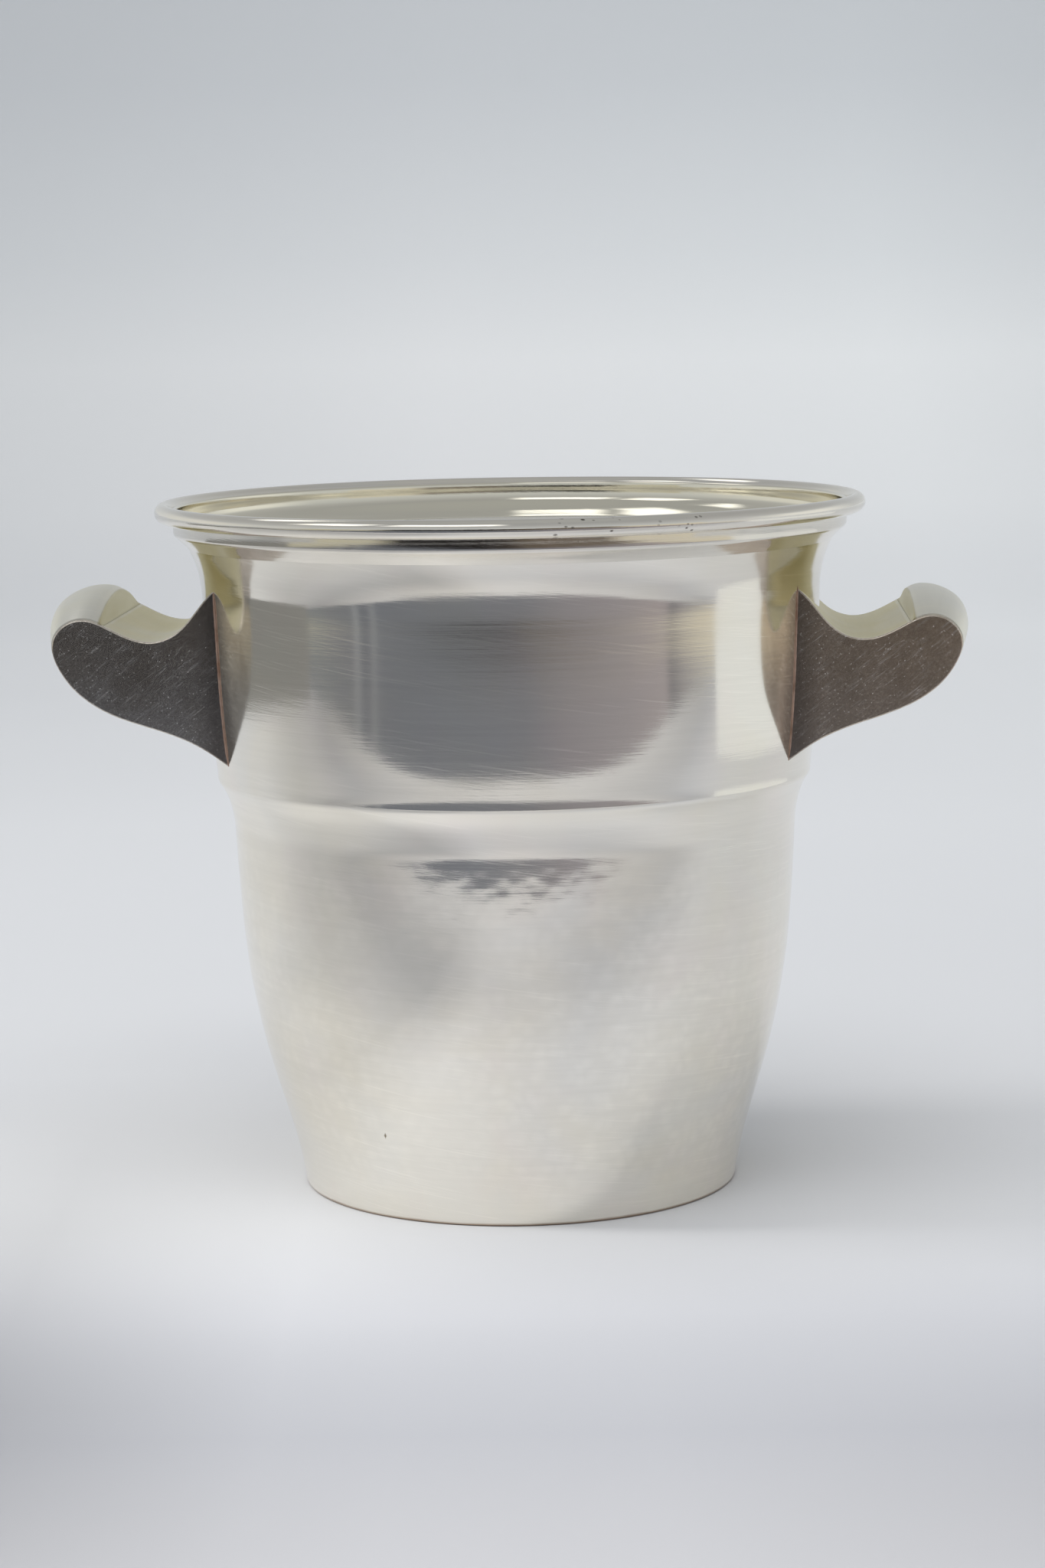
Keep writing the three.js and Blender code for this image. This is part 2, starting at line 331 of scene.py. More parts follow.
def silver(name, tone=(0.93, 0.895, 0.815), warm=(0.93, 0.88, 0.77), pink=(0.93, 0.87, 0.80),
           rough=0.16, hair=0.10, lines="turned", hammer=None, worn_and_shaded_foot=False, pits=False,
           tint=1.0, aniso=0.45, dull=0.0, fine_gain=1.0, cross_gain=1.0, olive=False, lines_gain=1.0,
           fillet=False, rubbed_and_shaded=False, inner=False):
    mat, nt, bsdf = nodes_of(name)
    g = Graph(nt)
    if lines == "turned":        # hairlines run round the axis
        s = g.attr("along")
        fine = g.vec(g.math("MULTIPLY", g.x, 30), g.math("MULTIPLY", g.y, 30), g.math("MULTIPLY", s, 3200))
        broad = g.vec(g.math("MULTIPLY", g.x, 16), g.math("MULTIPLY", g.y, 16), g.math("MULTIPLY", s, 700))
        tilt = g.math("ADD", g.z, g.math("MULTIPLY", g.x, 0.16))
        cross = g.vec(g.math("MULTIPLY", g.x, 42), g.math("MULTIPLY", g.y, 42), g.math("MULTIPLY", tilt, 2300))
    elif lines == "diagonal":    # brushed at a slant on the flat cheeks
        u = g.math("ADD", g.math("MULTIPLY", g.x, 0.80), g.math("MULTIPLY", g.z, 0.60))
        v = g.math("ADD", g.math("MULTIPLY", g.x, -0.60), g.math("MULTIPLY", g.z, 0.80))
        fine = g.vec(g.math("MULTIPLY", u, 55), g.math("MULTIPLY", g.y, 55), g.math("MULTIPLY", v, 3400))
        broad = g.vec(g.math("MULTIPLY", u, 30), g.math("MULTIPLY", g.y, 30), g.math("MULTIPLY", v, 800))
        u2 = g.math("ADD", g.math("MULTIPLY", g.x, 0.55), g.math("MULTIPLY", g.z, 0.83))
        v2 = g.math("ADD", g.math("MULTIPLY", g.x, -0.83), g.math("MULTIPLY", g.z, 0.55))
        cross = g.vec(g.math("MULTIPLY", u2, 70), g.math("MULTIPLY", g.y, 70), g.math("MULTIPLY", v2, 2600))
    else:                        # along the strip, rubbed across its width
        s = g.attr("along")
        fine = g.vec(g.math("MULTIPLY", s, 2600), g.math("MULTIPLY", g.y, 45), g.math("MULTIPLY", g.z, 45))
        broad = g.vec(g.math("MULTIPLY", s, 600), g.math("MULTIPLY", g.y, 28), g.math("MULTIPLY", g.z, 28))
        cross = g.vec(g.math("MULTIPLY", g.y, 1500), g.math("MULTIPLY", s, 80), g.math("MULTIPLY", g.z, 80))
    n_fine = g.noise(fine, 1.0, 2.0, 0.6)
    n_broad = g.noise(broad, 1.0, 2.0, 0.55)
    n_cross = g.noise(cross, 1.0, 1.0, 0.5)
    cloud = g.noise(g.obj, 26.0, 3.0, 0.55, 0.3)
    cloud2 = g.noise(g.vec(g.x, g.y, g.math("MULTIPLY", g.z, 0.7)), 47.0, 3.0, 0.6, 0.2)
    grain = g.noise(g.obj, 1400.0, 2.0, 0.6)
    # colour: ivory silver, warmer and pinker in soft clouds
    col = g.mix(g.span(cloud, 0.40, 0.68, 0.0, 0.75 * tint), tone, warm)
    col = g.mix(g.span(cloud2, 0.50, 0.72, 0.0, 0.6 * tint), col, pink)
    cloud3 = g.noise(g.obj, 18.0, 2.0, 0.5, 0.4)
    col = g.mix(g.span(cloud3, 0.54, 0.70, 0.0, 0.42 * tint), col, (0.865, 0.86, 0.835))
    shade = g.math("MULTIPLY", g.span(n_broad, 0.25, 0.75, 1.0 - 0.035 * lines_gain, 1.0),
                   g.span(n_cross, 0.60, 0.78, 1.0, 1.0 + 0.05 * lines_gain))
    if hammer is not None:       # painted shade: the colour darkens towards the edges of the blows
        wv = g.noise(g.obj, 90.0, 1.0, 0.5)
        wv2 = g.noise(g.obj, 77.0, 1.0, 0.5)
        hv = nt.nodes.new("ShaderNodeVectorMath"); hv.operation = "ADD"
        g.link(g.obj, hv.inputs[0])
        g.link(g.vec(g.math("MULTIPLY", wv, 0.006), g.math("MULTIPLY", wv2, 0.006), g.math("MULTIPLY", wv, 0.006)), hv.inputs[1])
        cell = g.voronoi(hv.outputs[0], 235.0, "F1")
        zone = g.math("MULTIPLY", g.span(g.z, 0.098, 0.107, 1.0, 0.0), g.span(g.z, 0.004, 0.018, 0.3, 1.0))
        patchy = g.span(g.noise(g.obj, 15.0, 1.0, 0.5), 0.35, 0.60, 0.35, 1.0)
        # painted shade at the edges of the hammer blows, in patches on the belly
        dimple_shade = g.math("MULTIPLY", g.math("MULTIPLY", zone, patchy), 0.045)
        shade = g.math("MULTIPLY", shade, g.math("SUBTRACT", 1.0, g.math("MULTIPLY", dimple_shade, g.span(cell, 0.15, 0.62, 0.0, 1.0))))
    n = nt.nodes.new("ShaderNodeHueSaturation")
    n.inputs["Saturation"].default_value = 1.0
    g.link(shade, n.inputs["Value"]); g.link(col, n.inputs["Color"])
    col = n.outputs["Color"]
    if dull:
        col = g.mix(g.span(cloud, 0.3, 0.7, 0.4 * dull, dull), col, (0.52, 0.46, 0.36))
    if fillet:                   # painted highlight: a bright line at the foot of the cap's wall
        edge = g.math("ADD", s, g.math("MULTIPLY", cloud2, 0.0004))
        m = g.math("MULTIPLY", g.span(edge, 0.001 * (S_CAP_MM - 0.9), 0.001 * (S_CAP_MM - 0.4), 0.0, 0.75), g.span(cloud2, 0.35, 0.55, 0.55, 1.0))
        col = g.mix(m, col, (0.93, 0.90, 0.76))
    if rubbed_and_shaded:                   # cheeks: matt speckle and scuffs, with painted shade in the corner by the wall
        speck = g.noise(g.obj, 2100.0, 1.0, 0.5)
        scuff = g.noise(g.vec(g.math("MULTIPLY", u, 160), g.math("MULTIPLY", g.y, 50), g.math("MULTIPLY", v, 2100)), 1.0, 2.0, 0.6)
        blot = g.noise(g.obj, 95.0, 3.0, 0.6)
        col = g.mix(g.span(speck, 0.30, 0.60, 0.42, 0.0), col, (0.38, 0.33, 0.28))
        col = g.mix(g.span(speck, 0.64, 0.78, 0.0, 0.8), col, (1.0, 0.97, 0.92))
        col = g.mix(g.span(scuff, 0.52, 0.72, 0.0, 0.62), col, (1.0, 0.96, 0.90))
        col = g.mix(g.span(blot, 0.42, 0.70, 0.0, 0.45), col, (0.46, 0.40, 0.33))
        # painted shade: the cheek darkens along its root at the body wall
        root = g.math("ADD", g.math("ABSOLUTE", g.x), g.math("MULTIPLY", blot, 0.002))
        col = g.mix(g.span(root, 0.0825, 0.0890, 0.62, 0.0), col, (0.20, 0.17, 0.15))
    if inner:                    # the inside of the collar has yellowed
        rad = g.math("SQRT", g.math("ADD", g.math("MULTIPLY", g.x, g.x), g.math("MULTIPLY", g.y, g.y)))
        slope = g.math("SUBTRACT", rad, g.math("ADD", 0.0922, g.math("MULTIPLY", g.math("SUBTRACT", g.z, 0.1882), 0.85)))
        m = g.math("MULTIPLY", g.span(slope, 0.0012, 0.0008, 0.0, 0.85), g.span(rad, 0.0958, 0.0954, 0.0, 1.0))
        col = g.mix(m, col, (0.86, 0.82, 0.69))
    if olive:                    # the cap's end wall is tarnished like the trough
        edge = g.math("SUBTRACT", s, g.math("MULTIPLY", cloud2, 0.0006))
        m = g.span(edge, 0.001 * (S_CAP_MM + 1.0), 0.001 * (S_CAP_MM + 1.7), 0.9, 0.0)
        col = g.mix(m, col, (0.58, 0.525, 0.31))
    if worn_and_shaded_foot:                # plating worn to brass on the resting edge, darkened further as a painted contact shadow
        edge = g.math("SUBTRACT", g.z, g.math("MULTIPLY", cloud2, 0.0006))
        col = g.mix(g.span(edge, 0.0001, 0.0007, 0.85, 0.0), col, (0.34, 0.23, 0.15))
        # one small brown spot near the foot
        spot = g.math("ABSOLUTE", g.math("SUBTRACT", g.z, 0.0252))
        spot_x = g.math("ABSOLUTE", g.math("ADD", g.x, 0.0345))
        front = g.math("LESS_THAN", g.y, 0.0)
        d = g.math("ADD", g.math("MULTIPLY", spot, 0.42), spot_x)
        m = g.math("MULTIPLY", g.span(d, 0.0002, 0.0005, 0.85, 0.0), front)
        col = g.mix(m, col, (0.16, 0.11, 0.05))
    if pits:
        sp = g.voronoi(g.vec(g.math("MULTIPLY", g.x, 0.55), g.y, g.z), 620.0)
        zone = g.noise(g.obj, 60.0, 1.0, 0.5)
        m = g.math("MULTIPLY", g.span(sp, 0.14, 0.26, 1.0, 0.0), g.span(zone, 0.50, 0.55, 0.0, 0.92))
        place = g.math("MULTIPLY", g.span(g.x, 0.013, 0.018, 0.0, 1.0), g.span(g.x, 0.058, 0.052, 0.0, 1.0))
        m = g.math("MULTIPLY", m, g.math("MULTIPLY", place, g.math("LESS_THAN", g.y, 0.0)))
        col = g.mix(m, col, (0.10, 0.085, 0.07))
        pit_mask = m
    g.link(col, bsdf.inputs["Base Color"])
    bsdf.inputs["Metallic"].default_value = 1.0
    # roughness: polished ground with hairline scatter
    r = g.math("ADD", rough - 0.5 * hair, g.math("MULTIPLY", n_fine, hair))
    r = g.math("ADD", r, g.span(n_cross, 0.62, 0.80, 0.0, 0.8 * hair * cross_gain))
    r = g.math("ADD", r, g.span(cloud, 0.35, 0.7, -0.015, 0.03))
    if pits:
        r = g.math("ADD", r, g.math("MULTIPLY", pit_mask, 0.3))
    if rubbed_and_shaded:
        r = g.math("ADD", r, g.span(speck, 0.67, 0.82, 0.0, 0.15))
        r = g.math("ADD", r, g.span(scuff, 0.58, 0.76, 0.0, 0.10))
    r = g.math("MAXIMUM", r, 0.05)
    g.link(r, bsdf.inputs["Roughness"])
    # relief
    nor = g.bump(n_fine, 3.2e-6 * fine_gain)
    nor = g.bump(n_cross, 2.4e-6 * fine_gain, nor)
    nor = g.bump(n_broad, 5.0e-6 * fine_gain * lines_gain, nor)
    nor = g.bump(grain, 1.6e-6, nor)
    if hammer is not None:
        lo, hi, depth = hammer
        mask = g.span(g.z, lo, hi, 1.0, 0.0)
        wob = g.noise(g.obj, 60.0, 1.0, 0.5)
        vec = nt.nodes.new("ShaderNodeVectorMath"); vec.operation = "ADD"
        sc = nt.nodes.new("ShaderNodeVectorMath"); sc.operation = "SCALE"
        g.link(g.vec(wob, g.noise(g.obj, 71.0, 1.0), wob), sc.inputs[0]); sc.inputs["Scale"].default_value = 0.008
        g.link(g.obj, vec.inputs[0]); g.link(sc.outputs[0], vec.inputs[1])
        blows = g.voronoi(vec.outputs[0], 190.0, "SMOOTH_F1", 0.9)
        swell = g.noise(g.obj, 120.0, 1.0, 0.5)
        h = g.math("ADD", g.math("MULTIPLY", blows, 0.9), g.math("MULTIPLY", swell, 1.0))
        h = g.math("MULTIPLY", h, mask)
        nor = g.bump(h, depth, nor)
    g.link(nor, bsdf.inputs["Normal"])
    if aniso:
        bsdf.inputs["Anisotropic"].default_value = aniso
        bsdf.inputs["Anisotropic Rotation"].default_value = 0.0
        tan = nt.nodes.new("ShaderNodeTangent"); tan.direction_type = "RADIAL"; tan.axis = "Z"
        g.link(tan.outputs[0], bsdf.inputs["Tangent"])
    return mat


def copper_seam(name):
    mat, nt, bsdf = nodes_of(name)
    g = Graph(nt)
    cloud = g.noise(g.obj, 160.0, 3.0, 0.6)
    streak = g.noise(g.vec(g.math("MULTIPLY", g.x, 300), g.math("MULTIPLY", g.y, 300), g.math("MULTIPLY", g.z, 90)), 1.0, 2.0)
    col = g.mix(g.span(cloud, 0.35, 0.65, 0.0, 1.0), (0.62, 0.44, 0.36), (0.38, 0.24, 0.18))
    col = g.mix(g.span(streak, 0.55, 0.75, 0.0, 0.7), col, (0.16, 0.10, 0.07))
    g.link(col, bsdf.inputs["Base Color"])
    bsdf.inputs["Metallic"].default_value = 0.85
    g.link(g.span(cloud, 0.3, 0.7, 0.38, 0.6), bsdf.inputs["Roughness"])
    g.link(g.bump(streak, 6e-5), bsdf.inputs["Normal"])
    return mat


M_BODY = silver("silver_body", rough=0.106, hair=0.085, hammer=(0.100, 0.107, 2.4e-5), worn_and_shaded_foot=True, aniso=0.25,
                tint=1.25, lines_gain=1.35, fine_gain=1.2)
M_RIM = silver("silver_rim", tone=(0.865, 0.83, 0.755), rough=0.085, hair=0.06, pits=True)
M_BAND = silver("silver_band", tone=(0.83, 0.795, 0.725), rough=0.095, hair=0.06, inner=True)
M_BASE = silver("silver_base", rough=0.26, hair=0.16, dull=0.25)
M_STRIP = silver("silver_strip", tone=(0.96, 0.935, 0.83), warm=(0.95, 0.91, 0.77), pink=(0.93, 0.915, 0.84),
                 rough=0.40, hair=0.12, lines="strip", aniso=0.0, olive=True)
M_TROUGH = silver("silver_trough", tone=(0.86, 0.80, 0.565), warm=(0.82, 0.755, 0.50), pink=(0.88, 0.82, 0.62),
                  rough=0.50, hair=0.12, lines="strip", aniso=0.0, fillet=True)
M_CHEEK = silver("silver_cheek", tone=(0.75, 0.65, 0.545), warm=(0.73, 0.63, 0.515), pink=(0.74, 0.64, 0.54), rough=0.16, hair=0.07, rubbed_and_shaded=True,
                 lines="diagonal", aniso=0.0, fine_gain=0.35, cross_gain=0.25)
M_SEAM = copper_seam("seam_copper")

SLOTS = {}


def finish_piece(ob, mat, slot_name, *nodes):
    ob.data.materials.append(mat)
    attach(ob, "root")
    if nodes:
        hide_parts(*nodes)
    return ob


# ---------------------------------------------------------------- turned pieces
SEGS = 480


# Planishing blows on the belly: shallow dimples on a jittered grid.
rng = np.random.default_rng(11)
HAM_Z = np.arange(4.0, 112.0, 0.5)
HAM_T = np.linspace(0, 2 * np.pi, 960, endpoint=False)
HAM = np.zeros((len(HAM_Z), len(HAM_T)))
PITCH_MM = 4.3
for row, zc in enumerate(np.arange(8.0, 104.0, PITCH_MM * 0.86)):
    n_c = int(round(2 * math.pi * float(body_r(zc)) / PITCH_MM))
    for k in range(n_c):
        tc = 2 * math.pi * (k + 0.5 * (row % 2) + rng.uniform(-0.38, 0.38)) / n_c
        zz = zc + rng.uniform(-1.5, 1.5)
        depth = rng.uniform(0.35, 1.0); rad = rng.uniform(1.9, 3.0)
        iz = np.where(np.abs(HAM_Z - zz) < rad)[0]
        span = int(rad / 80.0 / (2 * math.pi) * 960) + 2
        c = int(tc / (2 * math.pi) * 960)
        it = (np.arange(c - span, c + span + 1)) % 960
        dt = (HAM_T[it] - tc + np.pi) % (2 * np.pi) - np.pi
        d2 = ((HAM_Z[iz] - zz)[:, None] ** 2 + (dt * float(body_r(zz)))[None, :] ** 2) / rad**2
        HAM[np.ix_(iz, it)] -= depth * np.clip(1 - d2, 0, None) ** 2
HAM -= HAM.mean()


def round_error(th, r, z):
    """Hand work: the wall is never perfectly round. Fades out at rim and foot."""
    f = math.sin(math.pi * min(max(z / 186.0, 0), 1)) ** 0.7 if z > 0 else 0.0
    dr = f * (0.07 * np.cos(2 * th + 0.6) + 0.05 * np.cos(3 * th - 1.1 + z * 0.02)
              + 0.018 * np.cos(7 * th + z * 0.05) + 0.012 * np.cos(11 * th - z * 0.07))
    if 6 < z < 110:
        w = min((z - 6) / 14, (109 - z) / 9, 1.0)
        if w > 0:
            i = (z - HAM_Z[0]) / 0.5; i0 = min(int(i), len(HAM_Z) - 2); t = i - i0
            line = HAM[i0] * (1 - t) + HAM[i0 + 1] * t
            side = 0.75 + 0.25 * np.cos(2 * th + 1.2)
            dr = dr + w * 0.030 * side * np.interp(th, HAM_T, line, period=2 * np.pi)
            dr = dr + w * 0.010 * (np.sin(23 * th + 0.21 * z) + np.sin(31 * th - 0.33 * z + 1.0))
    return dr, 0.0 * th


def body_profile():
    low = [(r, z) for z, r in zip(LOW_Z, LOW_R) if 1.0 < z < 118.3]
    high = [(r, z) for z, r in zip(HIGH_Z, HIGH_R) if z > 119.9]
    # small radius at the crease of the step
    a = np.array([float(body_r(118.3)), 118.3]); b = np.array([float(body_r(119.9)), 119.9])
    c = np.array([85.46, 119.05])
    crease = [tuple((1 - t) ** 2 * a + 2 * t * (1 - t) * c + t**2 * b) for t in np.linspace(0, 1, 9)]
    outer = arc(62.15, 0.75, 0.75, -90, -8, 7) + low + crease + high
    top_r, top_z = outer[-1]
    top = [(top_r - 0.4, top_z + 0.25), (top_r - 0.8, top_z + 0.42), (top_r - 1.2, top_z + 0.4)]
    zs = np.concatenate([np.arange(185.8, 122, -1.2), np.arange(122, 112, -0.8), np.arange(112, 3.0, -2.2)])
    inner = [(float(np.interp(z, *(lambda zz, rr: (zz, rr))(
        np.concatenate([LOW_Z, HIGH_Z]), np.concatenate([LOW_R, HIGH_R])))) - SHEET - (0.15 if 117 < z < 121 else 0.0), z) for z in zs]
    foot = [(61.7, 2.0), (61.45, 1.45), (61.0, 1.2), (58.0, 1.2), (57.6, 1.05), (57.5, 0.7), (57.5, 0.35), (57.75, 0.05), (58.3, 0.0), (60.5, 0.0)]
    return outer + top + inner + foot


body = turned("body_shell_fine", body_profile(), SEGS, round_error)
sharpen(body, 60)
finish_piece(body, M_BODY, "body_silver", "body_shell")

bead_prof = [(99.1 + 2.5 * math.cos(a), 195.92 + 2.6 * math.sin(a))
             for a in np.linspace(0, 2 * math.pi, 49)[:-1]]


def bead_wobble(th, r, z):
    dz = 0.05 * np.cos(2 * th + 0.4) + 0.03 * np.cos(5 * th + 2.0)
    return 0.04 * np.cos(3 * th) + 0.02 * np.cos(9 * th + 1), dz


bead = turned("rim_bead_fine", bead_prof, 360, bead_wobble)
finish_piece(bead, M_RIM, "rim_silver", "rim_bead")

band_prof = (
    [(96.35, 194.6), (96.35, 192.6), (96.33, 190.6), (96.28, 190.05)]
    + [(96.05, 189.62), (95.6, 189.22), (95.0, 188.72), (94.3, 188.05), (93.6, 187.42), (93.0, 186.8), (92.37, 186.11)]
    + [(91.96, 186.37), (91.56, 186.55), (91.3, 186.56), (91.34, 186.8), (91.6, 187.2), (92.1, 188.3), (92.75, 189.4), (93.5, 190.3),
       (94.2, 191.0), (94.75, 191.8), (95.05, 192.7)]
    + [(95.15, 193.6), (95.2, 195.0), (95.2, 196.4)]
    + arc(95.95, 196.4, 0.75, 180, 60, 8)
    + [(96.55, 196.8), (96.6, 196.3), (96.5, 195.6)])
def band_wobble(th, r, z):
    w = min(max((z - 186.8) / 4.0, 0.0), 1.0)
    return w * 0.03 * np.cos(3 * th + 0.7), w * 0.03 * np.cos(4 * th)


band = turned("rim_band_fine", band_prof, 320, band_wobble)
sharpen(band, 60)
finish_piece(band, M_BAND, "rim_silver", "rim_band")

disc_prof = (
    [(0, 3.75), (15, 3.73), (30, 3.70), (42.5, 3.66), (44.0, 3.55), (45.2, 3.0), (46.2, 2.1), (47.2, 1.6), (48.5, 1.5),
     (56, 1.5), (60.9, 1.5)] + arc(60.9, 1.9, 0.4, -90, 0, 5) + arc(60.9, 2.3, 0.4, 0, 90, 5)
    + [(56, 2.7), (49.2, 2.7), (48.2, 2.8), (47.2, 3.3), (46.2, 4.1), (45.0, 4.65), (43.4, 4.86), (30, 4.9), (15, 4.93), (0, 4.95)])
disc = turned("base_disc_fine", disc_prof, 200)
finish_piece(disc, M_BASE, "base_silver", "base_disc")

# ---------------------------------------------------------------- handles
HALF = HANDLE_WIDTH / 2
def at(s):
    p = np.stack([np.interp(s, S_PATH, PATH[:, 0]), np.interp(s, S_PATH, PATH[:, 1])], -1)
    n = np.stack([np.interp(s, S_PATH, NRM[:, 0]), np.interp(s, S_PATH, NRM[:, 1])], -1)
    return p, n / np.hypot(n[..., 0], n[..., 1])[..., None]


def sstep(a, b, x):
    t = np.clip((x - a) / (b - a), 0, 1)
    return t * t * (3 - 2 * t)


FULLNESS = 1.0                   # the right cap is planished a little flatter


def crown(past):
    """Height of the cap's dome at mid width, by path length past the seam."""
    wall = sstep(0.3, 1.5, past) * FULLNESS
    top = CAP_WALL_RISE + (CROWN - CAP_WALL_RISE) * sstep(0, 6, past)
    return wall * top * (1 - sstep(12, S_CAP1 - S_CAP0, past))


def surface(s, y, d):
    """Point of the strip skin at path length s, width y, depth d (0 outer, 1 inner)."""
    p, n = at(s)
    lean = sstep(0, 10, s - S_CAP0)[..., None]
    up = np.array([0.0, 1.0]) * (1 - lean) + n * lean
    up = up / np.hypot(up[..., 0], up[..., 1])[..., None]
    lift = crown(s - S_CAP0 - d * SHEET) * (1 - (y / HALF) ** 2)
    return p + up * lift[..., None] - n * (d * SHEET)


def hit_body(y, d, s_from, s_to, inset=0.12):
    """Path length at which a strip's line meets the body."""
    s = np.linspace(s_from, s_to, 700)
    q = surface(s, y, d)
    inside = np.hypot(q[:, 0], y) < body_r(q[:, 1]) - inset
    idx = np.where(inside[:-1] != inside[1:])[0]
    return float(s[idx[0]]) if len(idx) else float(s_from)


def settle(x, z, side):
    """Hand-fitted handles: each stands a little differently from the drawn outline."""
    high = np.interp(z, [140, 160], [0.0, 1.0])
    out = np.interp(x, [100, 126], [0.0, 1.0])
    if side < 0:
        return x + 0.5 * out, z + 1.45 * high
    return x, z + 0.05 * high - 0.15 * out


REACH = HALF - SHEET + 0.02      # half width of the strips, between the cheeks


def strip_mesh(name, stations, across, side, cut_start=False, cut_end=False):
    """Sheet strip between the cheeks; side +1 right handle, -1 left."""
    ys = np.sin(np.linspace(-np.pi / 2, np.pi / 2, across + 1)) * REACH
    loop = [(y, 0.0) for y in ys] + [(y, 1.0) for y in ys[::-1]]
    m = len(loop)
    u = (np.asarray(stations) - stations[0]) / (stations[-1] - stations[0])
    verts = np.zeros((len(u), m, 3)); along = np.zeros((len(u), m))
    for j, (y, d) in enumerate(loop):
        a = hit_body(y, d, 2.0, 32.0) if cut_start else stations[0]
        b = hit_body(y, d, S_PATH[-1] - 26.0, S_PATH[-1] - 1.0) if cut_end else stations[-1]
        s = a + (b - a) * u
        q = surface(s, y, d)
        hx, hz = settle(q[:, 0], q[:, 1], side)
        verts[:, j, 0] = hx * side
        verts[:, j, 1] = y
        verts[:, j, 2] = hz
        along[:, j] = s
    faces = []
    for i in range(len(u) - 1):
        for j in range(m):
            k = (j + 1) % m
            faces.append((i * m + j, i * m + k, (i + 1) * m + k, (i + 1) * m + j))
    for e in (0, (len(u) - 1) * m):
        for j in range(across):
            q = (e + j, e + j + 1, e + m - 2 - j, e + m - 1 - j)
            faces.append(q if e else q[::-1])
    ob = make_mesh(name, verts.reshape(-1, 3), faces, along.reshape(-1))
    sharpen(ob, 50)
    return ob


def cheek_mesh(name, side, sg):
    """Flat side plate with a worn, rounded edge along the handle outline."""
    edge = 0.36                                  # rounding of the visible edge
    ring = [(HALF - SHEET, 0.02)]
    for a in np.linspace(0, 90, 6):
        ring.append((HALF - edge + edge * math.sin(math.radians(a)),
                     0.02 + edge - edge * math.cos(math.radians(a))))
    for k in (1.2, 2.4, 4.5):
        ring.append((HALF, 0.02 + edge + k))

    def seam_pts(y):
        z = np.linspace(118, 184, 265)
        r = body_r(z) - 0.15
        return np.sqrt(r * r - y * y), z

    idx = np.arange(0, N_PATH + 1, 5)
    loops = []
    for y, inset in ring:
        pts = PATH[idx] - NRM[idx] * inset
        sx, sz = seam_pts(y)
        out = pts[:, 0] > np.interp(pts[:, 1], sz, sx)
        run = np.where(out)[0]
        run = np.arange(run[0], run[-1] + 1)
        o = pts[run]
        # keep the inner rings from folding at tight bends
        s = polyline_length(o); q = np.linspace(0, s[-1], 150)
        o = np.stack([np.interp(q, s, o[:, 0]), np.interp(q, s, o[:, 1])], -1)
        first = np.array([np.interp(o[0, 1], sz, sx), o[0, 1]])
        last = np.array([np.interp(o[-1, 1], sz, sx), o[-1, 1]])
        o = np.vstack([first[None], o[1:-1], last[None]])
        zz = np.linspace(o[-1, 1], o[0, 1], 46)[1:-1]
        sm = np.stack([np.interp(zz, sz, sx), zz], -1)
        loops.append(np.vstack([o, sm]))
    m = len(loops[0])
    verts = []
    for loop, (y, _) in zip(loops[:7], ring[:7]):
        for x, z in loop:
            hx, hz = settle(x, z, side)
            verts.append((float(hx) * side, sg * y, float(hz)))
    n_ring = 7
    faces = []
    for i in range(n_ring - 1):
        for j in range(m):
            k = (j + 1) % m
            faces.append((i * m + j, i * m + k, (i + 1) * m + k, (i + 1) * m + j))
    faces.append(tuple(range(m))[::-1])
    faces.append(tuple((n_ring - 1) * m + j for j in range(m)))
    ob = make_mesh(name, verts, faces)
    bm = bmesh.new(); bm.from_mesh(ob.data)
    bmesh.ops.triangulate(bm, faces=[f for f in bm.faces if len(f.verts) > 4])
    bmesh.ops.recalc_face_normals(bm, faces=bm.faces)
    bm.to_mesh(ob.data); bm.free()
    sharpen(ob, 40)
    # big flat faces shade flat, the rolled edge shades round
    for p in ob.data.polygons:
        if abs(p.normal.y) > 0.999:
            p.use_smooth = False
    return ob


def bead_along(name, pts, radius, sides=8, squash=1.0):
    """Small solder fillet: a closed rod along a 3-D polyline, tapered at its ends."""
    pts = np.array(pts, float)
    t = np.gradient(pts, axis=0); t /= np.linalg.norm(t, axis=1)[:, None]
    up = np.array([0, 1, 0.0])
    verts = []; n = len(pts)
    for i in range(n):
        a = np.cross(t[i], up); a /= np.linalg.norm(a)
        b = np.cross(t[i], a)
        taper = min(1.0, 0.25 + 0.75 * min(i, n - 1 - i) / 6)
        wob = 1 + 0.16 * math.sin(i * 1.7) * math.sin(i * 0.61 + 1)
        for k in range(sides):
            w = 2 * math.pi * k / sides
            verts.append(pts[i] + (a * math.cos(w) + b * math.sin(w) * squash) * radius * taper * wob)
    faces = []
    for i in range(n - 1):
        for k in range(sides):
            l = (k + 1) % sides
            faces.append((i * sides + k, i * sides + l, (i + 1) * sides + l, (i + 1) * sides + k))
    faces.append(tuple(range(sides))); faces.append(tuple((n - 1) * sides + k for k in range(sides))[::-1])
    return make_mesh(name, verts, faces)


